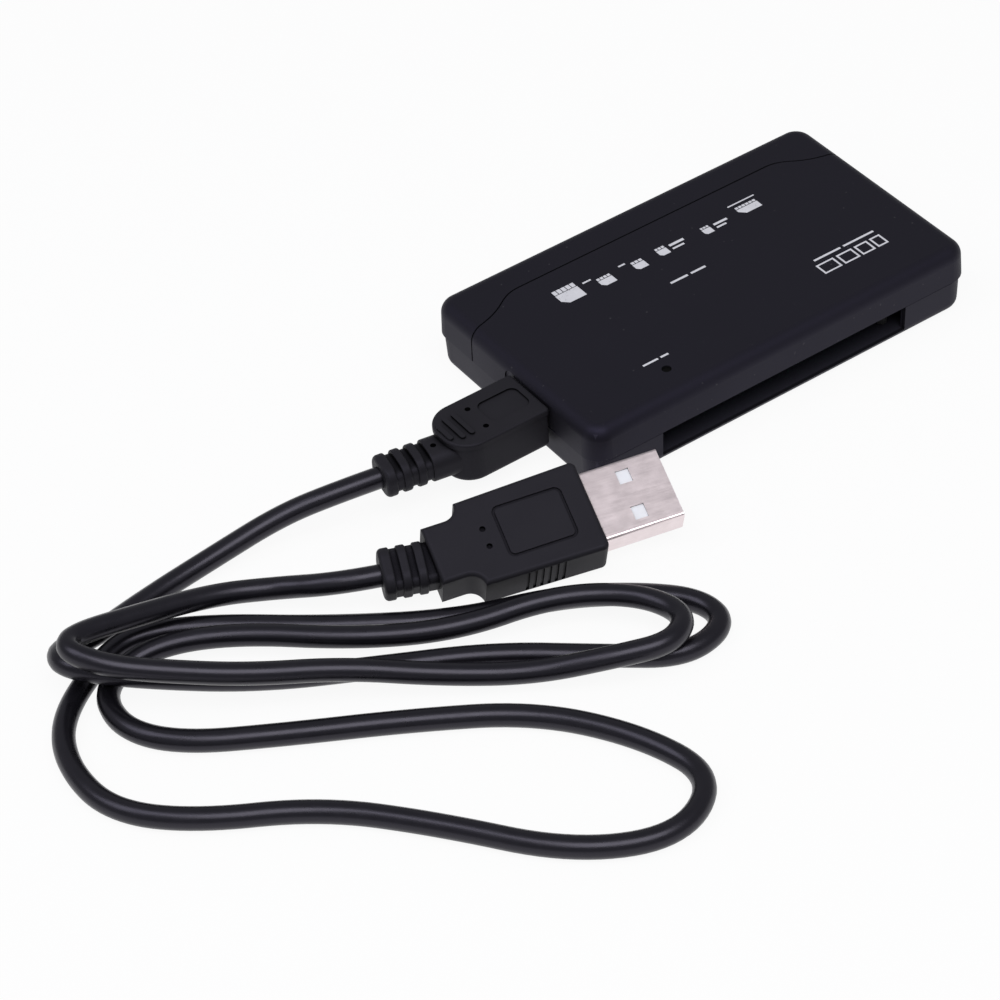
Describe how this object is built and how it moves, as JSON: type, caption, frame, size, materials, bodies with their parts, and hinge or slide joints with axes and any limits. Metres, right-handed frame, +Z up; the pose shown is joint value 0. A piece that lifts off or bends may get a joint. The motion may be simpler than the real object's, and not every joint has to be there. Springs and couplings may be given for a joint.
{
  "type": "usb memory card reader",
  "caption": "Flat black card reader with a wide card slot in one long side, thin card slots in the other, and a plugged-in USB lead lying folded beside it.",
  "frame": {"origin": "bottom centre of the reader's casing, without its lead", "axes": "+Z up out of the cover, +X along the casing away from the end with the lead, -Y towards the wide card slot"},
  "size_m": [0.1703, 0.1093, 0.0125],
  "materials": {
    "casing": "soft-touch black, fine matte",
    "lead_jacket": "black moulded vinyl, satin",
    "nickel_sheet": "folded sheet with a dull nickel plate",
    "white_insulator": "white moulded insulator",
    "black_insulator": "black moulded insulator",
    "gilt_contacts": "thin gold-coloured plating",
    "board_laminate": "green solder-resist laminate",
    "chip_body": "moulded black package with tinned leads",
    "crystal_can": "drawn metal can",
    "ceramic": "fired ceramic chips",
    "resistor_body": "black glazed chips",
    "lamp_body": "pale moulded lamp",
    "clear_pipe": "smoked clear rod"
  },
  "bodies": {
    "root": {"top_shell": "casing", "edge_strip": "casing", "bottom_shell": "casing", "circuit_board": "board_laminate", "controller_chip": "chip_body", "crystal": "crystal_can", "chip_capacitors": "ceramic", "chip_resistors": "resistor_body", "access_lamp": "lamp_body", "light_pipe": "clear_pipe", "wide_card_header": "black_insulator", "wide_card_pins": "gilt_contacts", "stick_socket": "black_insulator", "stick_cover": "nickel_sheet", "stick_contacts": "gilt_contacts", "square_socket": "black_insulator", "square_cover": "nickel_sheet", "square_contacts": "gilt_contacts", "micro_socket": "black_insulator", "micro_cover": "nickel_sheet", "micro_contacts": "gilt_contacts", "port_shell": "nickel_sheet", "port_tongue": "black_insulator", "port_contacts": "gilt_contacts", "small_plug_nose": "nickel_sheet", "small_plug_insulator": "black_insulator", "small_plug_contacts": "gilt_contacts", "small_plug_grip": "lead_jacket", "lead": "lead_jacket", "large_plug_grip": "lead_jacket", "large_plug_shell": "nickel_sheet", "large_plug_insulator": "white_insulator", "large_plug_contacts": "gilt_contacts"}
  },
  "joints": []
}
